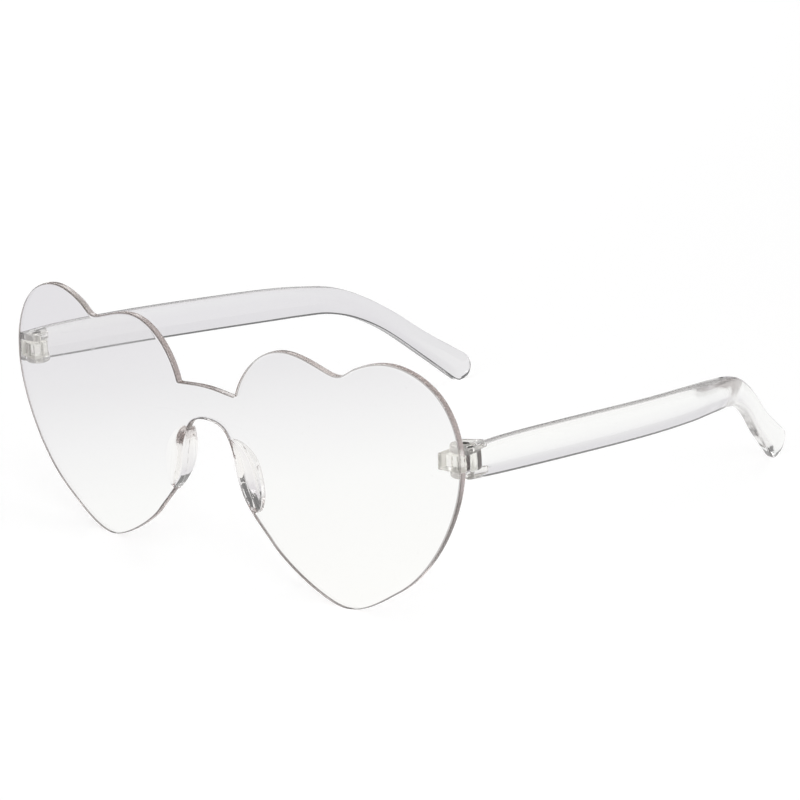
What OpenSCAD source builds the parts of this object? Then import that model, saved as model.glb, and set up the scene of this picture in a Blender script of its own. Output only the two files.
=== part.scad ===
// Heart-shaped glasses with one clear moulded shield for both eyes, two clear
// nose pads, two clear folding temples, and a small steel screw in each hinge.
// They stand on the two heart tips and the two temple tips. The wearer looks
// along -Y, the wearer's left is +X, and z = 0 is the surface they stand on.

/* [Shield] */
// Width across both hearts
shield_w = 146; // [138:1:154]
// Height of a heart from its outer lobe to its tip
heart_h = 59.2; // [55:0.2:64]
// Thickness of the shield
shield_t = 1.8; // [1.4:0.1:2.2]
// Radius of the dome that the shield's front lies on
dome_r = 488; // [420:4:600]
// Width of the bridge between the feet of the inner lobes
bridge_w = 18.6; // [16:0.2:21]
// Height of the bridge from the nose cut-out to its top
bridge_h = 8.1; // [6.5:0.1:10]
// Height of the bridge's top above the heart tips
bridge_z = 45; // [43:0.2:47]
// Fall of the bridge's top towards its ends
bridge_fall = 0.7; // [0.2:0.1:1.2]
// Width of the nose cut-out where it is upright
nose_w = 18; // [16:0.2:20]

/* [Nose pads] */
// Width of a pad's foot on the back of the shield
pad_w = 6.6; // [5:0.1:8]
// Depth of a pad behind the shield
pad_d = 4.8; // [3.5:0.1:6]
// Outward flare of a pad's free edge
pad_flare = 1.6; // [0.8:0.1:2.2]
// Thickness of a pad along its free edge
pad_edge_t = 0.9; // [0.6:0.1:1.4]
// Setback of a pad from the edge of the cut-out
pad_inset = 0; // [0:0.1:0.6]

/* [Hinges] */
// Distance of a screw's axis from the shield's outer edge
screw_inset = 3.1; // [2.9:0.1:3.6]
// Distance of a screw's axis behind the back of the shield
screw_stand = 3.45; // [3.3:0.05:3.8]
// Height of the hinge's middle above the heart tips
hinge_z = 39.6; // [38.6:0.1:40.6]
// Height of the front lug that the temple's fork holds
lug_h = 3.7; // [3.2:0.1:4.2]
// Radius of the front lug's round end
lug_r = 2.4; // [2:0.1:2.4]
// Length of the front lug on the inner side of the screw
lug_in = 3.6; // [3:0.1:5]
// Depth of the front lug behind the screw's axis
lug_back = 0.4; // [0.2:0.1:1]
// Radius of the fork's round knuckles
knuckle_r = 2.8; // [2.5:0.1:2.9]
// Height of the fork over both knuckles
fork_h = 7.2; // [6.8:0.1:7.6]
// Gap between the lug's round end and the wall of the fork's slot
fork_gap = 0.3; // [0.2:0.05:0.4]
// Play of the lug in the fork, above and below
fork_play = 0.1; // [0.05:0.05:0.15]
// Diameter of a screw's shank
screw_d = 1.2; // [1:0.1:1.4]
// Diameter of a screw's head
head_d = 2.4; // [2:0.1:2.6]
// Height of a screw's head
head_h = 0.5; // [0.4:0.05:0.6]
// Play of a screw in its holes, on the radius
screw_play = 0.03; // [0.02:0.01:0.05]

/* [Temples] */
// Length of a temple from the screw's axis to the middle of its tip
temple_l = 132.5; // [122:0.5:142]
// Height of a temple where it is highest
temple_h = 8.9; // [8.4:0.1:9.6]
// Thickness of a temple at its hinge
temple_t = 2.4; // [2:0.1:2.8]
// Thickness of a temple behind its bend
tail_t = 3; // [2.4:0.1:3.4]
// Inward lean of a temple's tip
temple_lean = 18.6; // [14:0.2:20]
// Radius of a temple's round tip
tip_r = 4; // [3.4:0.1:4.4]
// Rounding of a temple's long edges
edge_r = 0.7; // [0.3:0.1:0.8]
// How much a temple's faces fall from their middle to its long edges
crown = 0.3; // [0.1:0.05:0.4]
// Reach of a temple's outer wall in front of the screw's axis
wall_front = 2.5; // [2:0.1:2.8]
// How far a temple's outer face stands out from the shield's edge
temple_proud = 0.7; // [0.3:0.1:1.2]

/* [Hidden] */

overrun = 0.6;              // how far a cut runs past a face
half_w = shield_w / 2;
dome_z = heart_h / 2;       // height of the dome's foremost point
back_r = dome_r - shield_t;
// Depth of the shield's back face behind the dome's foremost point, at a place
// across and up
function back_face(x, z) = dome_r - sqrt(pow(back_r, 2) - pow(x, 2) - pow(z - dome_z, 2));
screw_x = half_w - screw_inset;
screw_back = back_face(screw_x, hinge_z) + screw_stand;
front_y = -(screw_back + temple_l + tip_r) / 2;
screw_y = front_y + screw_back;
clear_tint = [0.90, 0.92, 0.93, 0.35];

// Half of the shield's outline, clockwise from the bridge's middle, as shares of
// the half width and of the heart's height: across, up, heading in degrees
// clockwise from +X, and the fullness of the curve to the next point
lobe_shares = [
    [0.348, 0.970, 0, 0.34],        // inner lobe
    [0.501, 0.930, 17, 0.34],       // down to the notch
    [0.556, 0.920, -10, 0.34],      // notch
    [0.610, 0.956, -27, 0.33],      // up from the notch
    [0.747, 1.000, 0, 0.33],        // outer lobe
    [0.929, 0.905, 47, 0.34],       // shoulder
    [1.000, 0.659, 90, 0.32],       // widest point, in front of the hinge
    [0.929, 0.362, 119, 0.33],      // flank
    [0.758, 0.124, 147, 0.32],      // towards the tip
    [0.538, 0.000, 180, 0.24],      // tip
    [0.2575, 0.187, 228, 0.39]];    // up to the nose
bridge_heading = 5;         // heading where the bridge's top ends
lobe_heading = -74;         // heading where the inner lobe starts
nose_heading = 258;         // heading where the cut-out is upright
nose_share = 0.4295;        // height of that place as a share of heart_h
arch_share = 0.655;         // half width of the cut-out's arch, share of nose_w / 2
arch_drop_share = 0.255;    // its place below the arch's top, share of bridge_h
arch_heading = 231;
bow_share = 0.35;           // fullness of the remaining curves
outline_steps = 8;

half_anchors = concat(
    [[0, bridge_z, 0, bow_share],
     [bridge_w / 2, bridge_z - bridge_fall, bridge_heading, bow_share]],
    [for (p = lobe_shares) [p[0] * half_w, p[1] * heart_h, p[2], p[3]]],
    [[nose_w / 2, nose_share * heart_h, nose_heading, bow_share],
     [arch_share * nose_w / 2, bridge_z - (1 + arch_drop_share) * bridge_h, arch_heading, bow_share],
     [0, bridge_z - bridge_h, 180, bow_share]]);
corner = 1;                 // the one sharp point, where a lobe meets the bridge
nose_from = 12;             // curve from the heart's flank up to the cut-out's upright

function heading(a) = [cos(a), -sin(a)];
function start_heading(k) = k == corner ? lobe_heading : half_anchors[k][2];
// Point at t from 0 to 1 on the cubic curve that leaves anchor k for the next one
function bow(k, t) =
    let (a = half_anchors[k], b = half_anchors[k + 1],
        p = [a[0], a[1]], q = [b[0], b[1]], reach = norm(q - p) * a[3],
        c = p + reach * heading(start_heading(k)), d = q - reach * heading(b[2]), s = 1 - t)
    s * s * s * p + 3 * s * s * t * c + 3 * s * t * t * d + t * t * t * q;
half_outline = [for (k = [0 : len(half_anchors) - 2]) for (i = [0 : outline_steps - 1])
    bow(k, i / outline_steps)];
outline = concat(half_outline, [[0, bridge_z - bridge_h]],
    [for (i = [len(half_outline) - 1 : -1 : 1]) [-half_outline[i][0], half_outline[i][1]]]);

module shield() {
    color(clear_tint)
    intersection() {
        translate([0, front_y + dome_r / 2, 0]) rotate([90, 0, 0])
            linear_extrude(height = dome_r, center = true) polygon(outline);
        translate([0, front_y + dome_r, dome_z]) difference() {
            sphere(r = dome_r, $fn = 360);
            sphere(r = back_r, $fn = 360);
        }
    }
}

// A skin of triangles over rings of points, closed by a fan at each end
function ring_faces(rings, sides) = concat(
    [for (k = [1 : sides - 2]) [0, k + 1, k]],
    [for (r = [0 : rings - 2]) for (k = [0 : sides - 1])
        let (a = r * sides + k, b = r * sides + (k + 1) % sides) [a, b, a + sides]],
    [for (r = [0 : rings - 2]) for (k = [0 : sides - 1])
        let (a = r * sides + k, b = r * sides + (k + 1) % sides) [b, b + sides, a + sides]],
    [for (k = [1 : sides - 2]) let (z = (rings - 1) * sides) [z, z + k, z + k + 1]]);
module skin(rings) {
    polyhedron(points = [for (r = rings) for (p = r) p], faces = ring_faces(len(rings), len(rings[0])));
}

// Nose pad: a leaf along the side of the cut-out, from u = 0 at its foot end below
// to u = 1 above. Across each ring it is a wedge with a wide foot on the shield,
// a slightly full face towards the nose and a hollow outer side
pad_low_share = 0.42;       // where the pad starts on the lower curve of the cut-out
pad_high_share = 0.86;      // where it ends on the upper curve
pad_ends_share = 0.05;      // how much of each pointed end is left off
pad_belly = 0.75;           // below 1, the leaf is widest below its middle
pad_fullness = 0.6;
pad_rings = 16;
pad_span = (1 - pad_low_share) + pad_high_share;
function pad_place(u) =
    let (s = pad_low_share + u * pad_span) s < 1 ? bow(nose_from, s) : bow(nose_from + 1, s - 1);
function pad_size(u) = pow(sin(180 * pow(u, pad_belly)), pad_fullness);
// The wedge's corners as shares: of the foot's width, of the flare, of the edge's
// thickness, of the depth
pad_shares = [[0, 0, 0, 0], [-0.02, 0.35, 0, 0.5], [0, 0.85, 0, 0.85], [0, 1, 0.25, 0.98],
    [0, 1, 0.75, 1], [0, 1, 1, 0.9], [0.3, 0.7, 0.5, 0.45], [0.72, 0.1, 0, 0.12], [1, 0, 0, 0]];
function pad_ring(u) =
    let (e = 0.01, rise = pad_place(u + e) - pad_place(u - e),
        out = [rise[1], -rise[0]] / norm(rise), size = pad_size(u))
    [for (c = pad_shares)
        let (across = pad_inset + (c[0] * pad_w + c[1] * pad_flare + c[2] * pad_edge_t) * size,
            q = pad_place(u) + across * out)
        [q[0], front_y + back_face(q[0], q[1]) + c[3] * pad_d * size, q[1]]];
module nose_pad() {
    skin([for (i = [0 : pad_rings])
        pad_ring(pad_ends_share + (1 - 2 * pad_ends_share) * i / pad_rings)]);
}
module nose_pad_left() {
    color(clear_tint) nose_pad();
}
module nose_pad_right() {
    color(clear_tint) mirror([1, 0, 0]) nose_pad();
}

// Front lug: a block welded to the shield's back, with a round end about the screw.
// Its foot is flat and square to the dome's radius there
seat_gap = 0.02;            // the most that the dome rises towards the foot's corners
foot_x = screw_x + (lug_r - lug_in) / 2;
foot_rise = asin((hinge_z - dome_z) / back_r);
foot_turn = asin(foot_x / (back_r * cos(foot_rise)));
foot_block = 2 * (screw_back + lug_in + lug_h);
module hinge_lug() {
    difference() {
        intersection() {
            translate([screw_x, screw_y, hinge_z - lug_h / 2]) linear_extrude(height = lug_h) {
                circle(r = lug_r, $fn = 48);
                translate([-lug_in, -screw_back]) square([lug_in, screw_back + lug_back]);
                translate([0, -screw_back]) square([lug_r, screw_back]);
            }
            translate([0, front_y + dome_r, dome_z]) rotate([-foot_rise, 0, foot_turn])
                translate([0, foot_block / 2 + seat_gap - back_r, 0])
                    cube(foot_block, center = true);
        }
        translate([screw_x, screw_y, hinge_z])
            cylinder(r = screw_d / 2 + screw_play, h = lug_h + 2 * overrun, center = true, $fn = 48);
    }
}
module hinge_lug_left() {
    color(clear_tint) hinge_lug();
}
module hinge_lug_right() {
    color(clear_tint) mirror([1, 0, 0]) hinge_lug();
}

// Temple: places along its middle line, as shares of the length behind the screw,
// of the inward lean, of the drop from hinge to tip, and of the height
temple_x = half_w + temple_proud - temple_t / 2;
temple_drop = hinge_z - tip_r;
temple_shares = [
    [-wall_front / temple_l, 0.000, -0.003, 0.82],
    [0.061, 0.000, 0.020, 0.945],   // full height behind the fork
    [0.224, -0.005, 0.079, 1.00],   // a slow fall
    [0.436, 0.038, 0.166, 1.01],
    [0.586, 0.129, 0.225, 0.99],    // starts to lean in
    [0.670, 0.226, 0.261, 0.90],
    [0.730, 0.317, 0.298, 0.81],    // bend
    [0.782, 0.457, 0.376, 0.72],
    [0.843, 0.624, 0.522, 0.67],    // neck
    [0.919, 0.833, 0.761, 0.72],
    [1.000, 1.000, 1.000, 2 * tip_r / temple_h]];
places = len(temple_shares);
bar_steps = 4;              // rings from one place to the next
tip_turns = [22, 44, 62, 76, 86];
corner_turns = [0, 30, 60, 90];
tail_from_share = 0.60;     // where the bar starts to thicken, and where it ends
tail_to_share = 0.76;
tip_thin_share = 0.45;      // how much of the thickness is left at the very end

function place(i) = let (s = temple_shares[i])
    [temple_x - s[1] * temple_lean, screw_y + s[0] * temple_l, hinge_z - s[2] * temple_drop,
        s[3] * temple_h / 2];
function place_slope(i) = let (a = max(i - 1, 0), b = min(i + 1, places - 1))
    (place(b) - place(a)) / (place(b)[1] - place(a)[1]);
// Smooth curve through the places, at t from 0 to 1 after place i
function along(i, t) = let (p = place(i), q = place(i + 1), l = q[1] - p[1], s = 1 - t)
    (1 + 2 * t) * s * s * p + t * s * s * l * place_slope(i)
    + t * t * (3 - 2 * t) * q - t * t * s * l * place_slope(i + 1);
function along_slope(i, t) = let (p = place(i), q = place(i + 1), l = q[1] - p[1])
    6 * t * (1 - t) * (q - p) / l + (1 - t) * (1 - 3 * t) * place_slope(i)
    + t * (3 * t - 2) * place_slope(i + 1);
function thickness(y) = let (s = (y - screw_y) / temple_l)
    temple_t + (tail_t - temple_t)
    * min(max((s - tail_from_share) / (tail_to_share - tail_from_share), 0), 1);
// Ring round the middle line, square to its direction: half height h, half thickness
// w, four rounded corners, and a face on either side that is fullest in the middle
corner_places = [[1, 1, 0], [-1, 1, 90], [-1, -1, 180], [1, -1, 270]];
face_shares = [0.6, 0.2, -0.2, -0.6];   // places across a face, as shares of its height
function bar_ring(p, slope, h, w) =
    let (d = [slope[0], slope[1], slope[2]] / norm([slope[0], slope[1], slope[2]]),
        up = [0, -d[2], d[1]] / norm([d[1], d[2]]), side = cross(d, up),
        fall = crown * min(1, h / tip_r), r = min(edge_r, h * 0.9, (w - fall) * 0.9))
    [for (k = [0 : 3]) let (c = corner_places[k]) for (q = concat(
            [for (a = corner_turns) [c[0] * (w - fall - r) + r * cos(c[2] + a),
                c[1] * (h - r) + r * sin(c[2] + a)]],
            k % 2 == 0 ? [] : [for (f = face_shares) [c[0] * (w - fall * f * f), c[1] * f * (h - r)]]))
        p + side * q[0] + up * q[1]];
function ring_at(i, t) = let (v = along(i, t))
    bar_ring([v[0], v[1], v[2]], along_slope(i, t), v[3], thickness(v[1]) / 2);
function tip_ring(a) =
    let (v = place(places - 1), s = place_slope(places - 1),
        d = [s[0], s[1], s[2]] / norm([s[0], s[1], s[2]]),
        thin = tip_thin_share + (1 - tip_thin_share) * cos(a))
    bar_ring([v[0], v[1], v[2]] + tip_r * sin(a) * d, s, tip_r * cos(a), thin * tail_t / 2);
bar_rings = concat(
    [bar_ring([for (k = [0 : 2]) place(0)[k]], [0, 1, 0], place(0)[3], temple_t / 2)],
    [for (i = [0 : places - 2]) for (k = [1 : bar_steps]) ring_at(i, k / bar_steps)],
    [for (a = tip_turns) tip_ring(a)]);

// Fork: two flat knuckles on the bar's inner side, round the screw. The front lug
// turns between them in a slot that is open to the front and to the inner side, and
// the bar's outer face runs on past it
fork_top = hinge_z + fork_h / 2;
fork_low = hinge_z - fork_h / 2;
slot_top = hinge_z + lug_h / 2 + fork_play;
slot_low = hinge_z - lug_h / 2 - fork_play;
slot_r = lug_r + fork_gap;
bar_in = temple_x - temple_t / 2 - screw_x; // from the screw's axis to the bar's inner face
bar_mid = bar_in + temple_t / 2;
heel_turn = 122;            // where the straight heel leaves a round knuckle
heel = [knuckle_r * cos(heel_turn), knuckle_r * sin(heel_turn)];
heel_end = heel[1] + (bar_in - heel[0]) * tan(heel_turn - 90);
module knuckle(low, high) {
    translate([screw_x, screw_y, low]) linear_extrude(height = high - low) {
        circle(r = knuckle_r, $fn = 48);
        polygon([[0, 0], [bar_mid, 0], [bar_mid, heel_end], [bar_in, heel_end], heel]);
    }
}
module temple() {
    difference() {
        union() {
            difference() {
                skin(bar_rings);
                translate([screw_x, screw_y, slot_low]) linear_extrude(height = slot_top - slot_low) {
                    circle(r = slot_r, $fn = 48);
                    translate([0, -wall_front - overrun]) square([slot_r, wall_front + overrun]);
                }
            }
            knuckle(fork_low, slot_low);
            knuckle(slot_top, fork_top);
        }
        translate([screw_x, screw_y, fork_low - overrun])
            cylinder(r = screw_d / 2 + screw_play, h = fork_top - fork_low + 2 * overrun, $fn = 48);
        translate([screw_x, screw_y, fork_top - head_h - fork_play])
            cylinder(r = head_d / 2 + screw_play, h = head_h + overrun, $fn = 48);
    }
}
module temple_left() {
    color(clear_tint) temple();
}
module temple_right() {
    color(clear_tint) mirror([1, 0, 0]) temple();
}

// Hinge screw: a flat slotted head in the upper knuckle and a plain shank
driver_slot_share = 0.16;   // width of the slot as a share of the head's diameter
driver_depth_share = 0.5;   // its depth as a share of the head's height
module hinge_screw() {
    head_z = fork_top - head_h - fork_play;
    translate([screw_x, screw_y, 0]) difference() {
        union() {
            translate([0, 0, fork_low + fork_play])
                cylinder(d = screw_d, h = head_z - fork_low, $fn = 48);
            translate([0, 0, head_z]) cylinder(d = head_d, h = head_h, $fn = 48);
        }
        translate([-head_d, -driver_slot_share * head_d / 2, head_z + head_h * (1 - driver_depth_share)])
            cube([2 * head_d, driver_slot_share * head_d, head_h]);
    }
}
module hinge_screw_left() {
    color([0.35, 0.34, 0.33]) hinge_screw();
}
module hinge_screw_right() {
    color([0.35, 0.34, 0.33]) mirror([1, 0, 0]) hinge_screw();
}

shield();
nose_pad_left();
nose_pad_right();
hinge_lug_left();
hinge_lug_right();
hinge_screw_left();
hinge_screw_right();
temple_left();
temple_right();
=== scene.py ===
# %% [markdown]
# # Clear heart-shaped glasses
#
# The real object is a pair of rimless glasses moulded in clear plastic. One domed
# sheet is both lenses and the bridge. Two leaf-shaped pads and two hinge lugs are
# joined to its back, and each temple turns on a small steel screw. Everything but
# the screws is transparent, so what the eye reads are edges: light that enters an
# edge is trapped in the plastic, runs a long way inside it and comes out darker and
# browner. For this reason each piece is a closed body with rounded edges and a
# faintly absorbing inside. Absorption alone left the sheet's edge paler than in the
# photograph, so its finish adds a faint brown matt share and a painted dark shade there.

import bmesh
import bpy
import numpy as np
from mathutils import Matrix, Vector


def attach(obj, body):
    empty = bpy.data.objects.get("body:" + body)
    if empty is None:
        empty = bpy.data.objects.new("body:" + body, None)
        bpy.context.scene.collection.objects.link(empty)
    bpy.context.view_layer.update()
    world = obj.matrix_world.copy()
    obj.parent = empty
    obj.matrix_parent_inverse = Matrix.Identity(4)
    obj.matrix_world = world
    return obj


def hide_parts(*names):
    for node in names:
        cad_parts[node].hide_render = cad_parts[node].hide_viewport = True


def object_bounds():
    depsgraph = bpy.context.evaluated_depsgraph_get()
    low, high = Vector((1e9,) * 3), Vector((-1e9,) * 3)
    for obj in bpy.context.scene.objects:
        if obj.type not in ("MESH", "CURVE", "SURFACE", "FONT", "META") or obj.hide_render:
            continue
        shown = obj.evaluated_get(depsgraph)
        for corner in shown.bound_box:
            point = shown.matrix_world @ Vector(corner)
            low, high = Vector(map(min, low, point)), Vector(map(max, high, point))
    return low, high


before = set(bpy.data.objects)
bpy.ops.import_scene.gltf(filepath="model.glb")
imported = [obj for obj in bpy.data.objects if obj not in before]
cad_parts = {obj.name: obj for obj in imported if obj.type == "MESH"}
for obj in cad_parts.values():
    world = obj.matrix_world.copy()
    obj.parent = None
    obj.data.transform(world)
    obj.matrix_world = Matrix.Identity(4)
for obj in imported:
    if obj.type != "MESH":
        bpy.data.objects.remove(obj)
cad_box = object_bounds()
MM = 0.001
scene = bpy.context.scene
print("CAD box, metres:", [[round(v, 5) for v in corner] for corner in cad_box])

# %% [markdown]
# ## Camera
#
# The photograph looks down a little and from the wearer's left. A long lens keeps
# the hearts and temples nearly undistorted. The camera sits on the line through a
# point near the middle of the glasses, and it rolls slightly, as the photographer's
# camera did.

# %% Camera at the photograph's angle
AZIMUTH, ELEVATION, ROLL = np.radians([44.0, 17.894, -2.273])
AIM = np.array([0.03278, -0.04382, 0.04049])
DISTANCE = 0.65535
LENS, SENSOR = 130.545, 36.0

back = np.array([np.sin(AZIMUTH) * np.cos(ELEVATION),
                 -np.cos(AZIMUTH) * np.cos(ELEVATION), np.sin(ELEVATION)])
level = np.cross(-back, [0, 0, 1])
level /= np.linalg.norm(level)
rise = np.cross(level, -back)
right = np.cos(ROLL) * level + np.sin(ROLL) * rise
above = np.cos(ROLL) * rise - np.sin(ROLL) * level

camera_data = bpy.data.cameras.new("camera")
camera_data.lens, camera_data.sensor_width = LENS, SENSOR
camera_data.clip_start, camera_data.clip_end = 0.01, 50
camera = bpy.data.objects.new("camera", camera_data)
scene.collection.objects.link(camera)
pose = np.eye(4)
pose[:3, 0], pose[:3, 1], pose[:3, 2], pose[:3, 3] = right, above, back, AIM + DISTANCE * back
camera.matrix_world = Matrix(pose.tolist())
scene.camera = camera
print("camera at", np.round(pose[:3, 3], 4), "metres")

# %% [markdown]
# ## Node helper
#
# A material is a graph. One small function makes a node, fills its sockets and
# links other nodes' outputs into them, so that a whole finish reads like a formula.

# %% Make and link shader nodes
def add(tree, kind, settings=None, **sockets):
    """Makes one node. settings are its own properties, sockets its inputs by name or
    by i0, i1 for a numbered one: a value is stored and another node's output linked."""
    made = tree.nodes.new(kind)
    for name, value in (settings or {}).items():
        setattr(made, name, value)
    for name, value in sockets.items():
        numbered = name[0] == "i" and name[1:].isdigit()
        socket = made.inputs[int(name[1:]) if numbered else name.replace("_", " ")]
        if isinstance(value, bpy.types.NodeSocket):
            tree.links.new(value, socket)
        else:
            socket.default_value = value
    return made


def ramp(tree, factor, stops, smooth=True):
    """Colour ramp from (place, grey or colour) stops. Between stops it is a cubic ease
    or a straight line."""
    made = tree.nodes.new("ShaderNodeValToRGB")
    band = made.color_ramp
    band.interpolation = "EASE" if smooth else "LINEAR"
    while len(band.elements) < len(stops):
        band.elements.new(1.0)
    for element, (place, value) in zip(band.elements, stops):
        element.position = place
        colour = (value,) * 3 if np.isscalar(value) else value
        element.color = (*colour, 1)
    tree.links.new(factor, made.inputs[0])
    return made.outputs[0]


def math(tree, operation, *values):
    """One arithmetic node over numbers or outputs."""
    return add(tree, "ShaderNodeMath", {"operation": operation},
               **{f"i{k}": v for k, v in enumerate(values)}).outputs[0]


# %% [markdown]
# ## Stage
#
# A clear object shows only what surrounds it. On the photograph the background is
# white, but what shows through the plastic is white near the camera's side and pale
# grey further back. It seems that the background was cleared afterwards. Only camera
# rays see the white floor, which keeps the shadow. Rays that have passed through
# plastic or been reflected see a paper with a slow fall of light instead, whose five
# tones were chosen by comparing renders with the photograph.

# %% Floor
FLOOR_REACH = 4.0
FLOOR_DROP = 0.00003
PAPER_AXIS, PAPER_NEAR, PAPER_FAR = (0.84, -0.55), 0.08, -0.16
TOP_UP = 0.17                       # lifts the lit floor to white round the shadow

floor_mesh = bpy.data.meshes.new("floor")
corner = np.array([[-1, -1], [1, -1], [1, 1], [-1, 1]]) * FLOOR_REACH
floor_mesh.from_pydata([(x, y, cad_box[0][2] - FLOOR_DROP) for x, y in corner], [], [(0, 1, 2, 3)])
floor = bpy.data.objects.new("floor", floor_mesh)
scene.collection.objects.link(floor)

paper = bpy.data.materials.new("paper")
paper.use_nodes = True
tree = paper.node_tree
tree.nodes.clear()
place = add(tree, "ShaderNodeTexCoord").outputs["Object"]
along = add(tree, "ShaderNodeVectorMath", {"operation": "DOT_PRODUCT"},
            i0=place, i1=(*PAPER_AXIS, 0)).outputs["Value"]
share = add(tree, "ShaderNodeMapRange", Value=along, From_Min=PAPER_FAR,
            From_Max=PAPER_NEAR).outputs[0]
# Painted light: the paper's emission falls from white on the camera's side to pale grey behind,
# standing in for a key lamp's pool of light.
fall = ramp(tree, share, [(0.0, (0.80, 0.79, 0.815)), (0.2, (0.835, 0.83, 0.845)),
                          (0.42, (0.925, 0.925, 0.93)), (0.6, (0.985, 0.99, 0.98)),
                          (1.0, (1.02, 1.02, 1.0))], smooth=False)
painted_light_paper = add(tree, "ShaderNodeEmission", Color=fall, Strength=1.0)
lit = add(tree, "ShaderNodeBsdfDiffuse", Color=(0.9, 0.9, 0.9, 1))
top_up = add(tree, "ShaderNodeEmission", Color=(1, 1, 1, 1), Strength=TOP_UP)
white = add(tree, "ShaderNodeAddShader", i0=lit.outputs[0], i1=top_up.outputs[0])
path = add(tree, "ShaderNodeLightPath")
shown = add(tree, "ShaderNodeMixShader", i0=path.outputs["Is Camera Ray"],
            i1=painted_light_paper.outputs[0], i2=white.outputs[0])
add(tree, "ShaderNodeOutputMaterial", Surface=shown.outputs[0])
floor_mesh.materials.append(paper)

# %% [markdown]
# ## Light
#
# Clear plastic is drawn by what is bright and what is dark round it. A photographer
# hangs a soft box overhead, leaves the wall on the camera's side white and keeps the
# rest of the room dark. The faces then pass the bright paper, while the rounded
# edges bend the eye's rays into the dark part and turn into fine outlines. Two broad
# lamps add the soft glints.

# %% World and lamps
world = bpy.data.worlds.new("tent")
scene.world = world
world.use_nodes = True
tree = world.node_tree
tree.nodes.clear()
DARK, WHITE_WALL = 0.14, (0.69, -0.72, 0.0)
direction = add(tree, "ShaderNodeTexCoord").outputs["Generated"]
axes = add(tree, "ShaderNodeSeparateXYZ", Vector=direction)
height = math(tree, "MULTIPLY_ADD", axes.outputs["Z"], 0.5, 0.5)
facing = add(tree, "ShaderNodeVectorMath", {"operation": "DOT_PRODUCT"}, i0=direction,
             i1=WHITE_WALL).outputs["Value"]
facing = math(tree, "MULTIPLY_ADD", facing, 0.5, 0.5)
tent = add(tree, "ShaderNodeMix", {"data_type": "RGBA", "blend_type": "LIGHTEN"}, i0=1.0,
           i6=ramp(tree, height, [(0.0, DARK), (0.86, DARK), (0.91, 1.0), (1.0, 1.0)]),
           i7=ramp(tree, facing, [(0.0, DARK), (0.5, 0.16), (0.72, 0.85), (1.0, 1.0)])).outputs[2]
room = add(tree, "ShaderNodeBackground", Color=tent, Strength=0.95)
clear_white = add(tree, "ShaderNodeBackground", Color=(1, 1, 1, 1), Strength=1.0)
path = add(tree, "ShaderNodeLightPath")
seen = add(tree, "ShaderNodeMixShader", i0=path.outputs["Is Camera Ray"],
           i1=room.outputs[0], i2=clear_white.outputs[0])
add(tree, "ShaderNodeOutputWorld", Surface=seen.outputs[0])


def lamp(name, at, side, radiance):
    """Square area lamp at a point in metres, turned to the glasses. Its power is pi
    times its area times the radiance that it shows."""
    data = bpy.data.lights.new(name, "AREA")
    data.shape, data.size = "SQUARE", side
    data.energy = np.pi * side * side * radiance
    made = bpy.data.objects.new(name, data)
    scene.collection.objects.link(made)
    away = np.array(at) - [0, 0, 0.03]
    away /= np.linalg.norm(away)
    across = np.cross([0, 0, 1], away)
    across /= np.linalg.norm(across)
    turn = np.eye(4)
    turn[:3, 0], turn[:3, 1], turn[:3, 2], turn[:3, 3] = across, np.cross(away, across), away, at
    made.matrix_world = Matrix(turn.tolist())
    return made


lamp("key", (0.75, -0.55, 0.95), 0.55, 4.5)
lamp("fill", (-0.9, 0.5, 0.9), 0.7, 2.4)

scene.view_settings.view_transform = "Standard"
BOUNCES = 40                        # light runs far inside a clear edge
for limit in ("max_bounces", "transmission_bounces", "glossy_bounces", "transparent_max_bounces"):
    setattr(scene.cycles, limit, BOUNCES)
print("lamps:", [one.name for one in bpy.data.lights], "and up to", BOUNCES, "bounces")

# %% [markdown]
# ## Clear plastic
#
# Polycarbonate bends light strongly, at an index of 1.585. Handled plastic is never
# perfectly clean, so a slow noise gives it patches of haze, a stretched noise gives
# hair scratches and the moulding's flow ripples bend the surface very slightly. The
# inside absorbs a little of each colour, most of blue, which tints long paths.
# Lamps pass through it with little loss, because a clear sheet casts only a pale
# shadow.
#
# Two values are kept on each point of a mesh. The raw value is 1 where a surface
# looks cut or left as moulded: it is rougher and a little milky there. Where it
# passes from 0 to 1, along the arris of a cut edge, a dark tint is painted on as
# shade, because the photograph shows a dark line there that the light alone did not
# give. Where it passes from 0 to 1, along the arris of a cut edge, a dark tint is
# laid on, because the photograph shows a dark line there whose cause is not known.
# The bond value is above 0 where two pieces are taken as cemented: no joint can be
# seen, so light goes straight through.

# %% Clear plastic finish
POLYCARBONATE = 1.585
SPECK, ARRIS_PAINTED_SHADE = (0.62, 0.60, 0.58, 1), (0.14, 0.12, 0.12, 1)


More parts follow.
